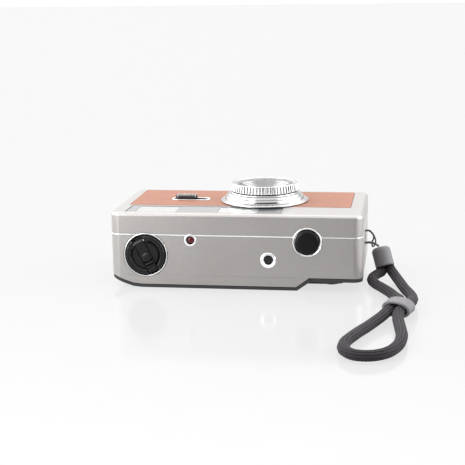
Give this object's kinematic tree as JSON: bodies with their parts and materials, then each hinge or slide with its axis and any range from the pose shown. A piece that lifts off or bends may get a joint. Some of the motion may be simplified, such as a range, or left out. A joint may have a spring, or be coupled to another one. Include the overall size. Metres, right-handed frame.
{
  "type": "half frame film camera",
  "caption": "Compact half frame film camera with a fixed lens, flash, hinged back, thumb wheel, folding rewind crank and a cord wrist strap, lying on its back.",
  "frame": {"origin": "middle of the flat back face that the camera lies on", "axes": "+Z out of the lens, -Y towards the top plate with the controls, +X towards the shutter button end"},
  "size_m": [0.1407, 0.1633, 0.0441],
  "materials": {
    "silver_paint": "satin silver paint",
    "inner_black": "matt black",
    "tan_leatherette": "fine grained salmon tan",
    "clear_window": "clear polished",
    "frosted_window": "finely ribbed, milky",
    "black_plastic": "satin black",
    "thread": "twisted black thread",
    "steel": "brushed",
    "bright_trim": "bright turned",
    "brass": "plain",
    "red_lens": "clear dark red",
    "white_dial": "plain white",
    "spring_steel": "spring steel",
    "circuit_board": "green board",
    "cell_wrap": "gold and black wrap",
    "strap_fitting": "soft grey",
    "strap_cord": "woven dark grey brown"
  },
  "bodies": {
    "casing": {"front_cover": "silver_paint", "main_housing": "silver_paint", "chassis": "inner_black", "viewfinder_tunnel": "inner_black", "lens_barrel": "inner_black", "battery_cradle": "inner_black", "leatherette": "tan_leatherette", "window_strip": "clear_window", "viewfinder_window": "clear_window", "eyepiece": "clear_window", "front_lens_element": "clear_window", "rear_lens_element": "clear_window", "counter_window": "clear_window", "flash_tube": "clear_window", "flash_window": "frosted_window", "rear_deck": "black_plastic", "flash_capacitor": "black_plastic", "strap_thread": "thread", "hinge_pin": "steel", "shutter_plate": "steel", "case_screw_1": "steel", "case_screw_2": "steel", "lens_flange": "bright_trim", "lens_grip_ring": "bright_trim", "lens_front_ring": "bright_trim", "rewind_bezel": "bright_trim", "led_ring": "bright_trim", "counter_ring": "bright_trim", "shutter_button_ring": "bright_trim", "flash_reflector": "bright_trim", "flash_switch_trim": "bright_trim", "led_lens": "red_lens", "battery_spring": "spring_steel", "flash_board": "circuit_board", "battery_cell": "cell_wrap", "strap_ferrule": "strap_fitting", "strap_slider": "strap_fitting", "wrist_cord": "strap_cord"},
    "door": {"back_door": "silver_paint", "back_skin": "black_plastic", "pressure_spring": "spring_steel"},
    "film_plate": {"pressure_plate": "steel"},
    "button": {"shutter_button": "black_plastic"},
    "lever": {"release_lever": "steel"},
    "blade": {"shutter_blade": "steel"},
    "rewind_lift": {"rewind_collar": "brass"},
    "rewind": {"rewind_knob": "black_plastic", "rewind_shaft": "steel", "crank_pin": "steel"},
    "crank": {"rewind_crank": "black_plastic"},
    "winder": {"thumb_wheel": "black_plastic", "take_up_spool": "black_plastic", "wind_gear": "brass"},
    "idler": {"idler_gear": "brass"},
    "roller": {"sprocket_roller": "black_plastic"},
    "dial": {"counter_dial": "white_dial"},
    "flash_switch": {"flash_switch_knob": "black_plastic"},
    "latch": {"door_latch": "black_plastic"},
    "battery_lid": {"battery_door": "silver_paint"},
    "release_pin": {"rewind_release_button": "steel"}
  },
  "joints": [
    {"name": "back_door_hinge", "type": "hinge", "parent": "casing", "child": "door", "pos_m": [0.0562, 0, 0.005], "axis": [0, -1, 0], "range_deg": [0, 95]},
    {"name": "pressure_plate_slide", "type": "slide", "parent": "door", "child": "film_plate", "axis": [0, 0, -1], "range_m": [0, 0.0008], "stiffness_N_per_m": 300, "springref_m": -0.002},
    {"name": "shutter_button_slide", "type": "slide", "parent": "casing", "child": "button", "axis": [0, 1, 0], "range_m": [0, 0.0018], "stiffness_N_per_m": 400, "springref_m": -0.0015},
    {"name": "release_lever_pivot", "type": "hinge", "parent": "casing", "child": "lever", "pos_m": [0.028, -0.0175, 0.0226], "axis": [0, 0, 1], "range_deg": [0, 15.1]},
    {"name": "shutter_blade_pivot", "type": "hinge", "parent": "casing", "child": "blade", "pos_m": [0.01905, -0.002, 0.02845], "axis": [0, 0, -1], "range_deg": [0, 40.2]},
    {"name": "rewind_knob_lift", "type": "slide", "parent": "casing", "child": "rewind_lift", "axis": [0, -1, 0], "range_m": [0, 0.0055]},
    {"name": "rewind_knob_turn", "type": "hinge", "parent": "rewind_lift", "child": "rewind", "pos_m": [-0.0415, 0, 0.0154], "axis": [0, -1, 0], "continuous": true},
    {"name": "rewind_crank_fold", "type": "hinge", "parent": "rewind", "child": "crank", "pos_m": [-0.04441, -0.0314, 0.02121], "axis": [-0.8942, 0, -0.4478], "range_deg": [0, 150]},
    {"name": "winder_turn", "type": "hinge", "parent": "casing", "child": "winder", "pos_m": [0.0436, 0, 0.0126], "axis": [0, -1, 0], "continuous": true},
    {"name": "idler_gear_turn", "type": "hinge", "parent": "casing", "child": "idler", "pos_m": [0.03449, -0.022, 0.01207], "axis": [0, -1, 0], "continuous": true},
    {"name": "sprocket_roller_turn", "type": "hinge", "parent": "casing", "child": "roller", "pos_m": [0.0263, 0, 0.0116], "axis": [0, -1, 0], "continuous": true},
    {"name": "counter_dial_turn", "type": "hinge", "parent": "casing", "child": "dial", "pos_m": [0.0153, -0.028, 0.0202], "axis": [0, -1, 0], "continuous": true},
    {"name": "flash_switch_slide", "type": "slide", "parent": "casing", "child": "flash_switch", "axis": [1, 0, 0], "range_m": [0, 0.0055]},
    {"name": "door_latch_slide", "type": "slide", "parent": "casing", "child": "latch", "axis": [0, 1, 0], "range_m": [0, 0.0022], "stiffness_N_per_m": 500, "springref_m": -0.0015},
    {"name": "battery_door_hinge", "type": "hinge", "parent": "casing", "child": "battery_lid", "pos_m": [-0.0205, 0.0302, 0.00975], "axis": [-1, 0, 0], "range_deg": [0, 95]},
    {"name": "rewind_release_slide", "type": "slide", "parent": "casing", "child": "release_pin", "axis": [0, -1, 0], "range_m": [0, 0.0012], "stiffness_N_per_m": 300, "springref_m": -0.0015}
  ],
  "couplings": [
    {"joint": "release_lever_pivot", "follows": "shutter_button_slide", "rad_per_m": 145},
    {"joint": "shutter_blade_pivot", "follows": "shutter_button_slide", "rad_per_m": 388},
    {"joint": "idler_gear_turn", "follows": "winder_turn", "ratio": -1.5},
    {"joint": "sprocket_roller_turn", "follows": "winder_turn", "ratio": 1.2},
    {"joint": "counter_dial_turn", "follows": "winder_turn", "ratio": 0.03}
  ]
}
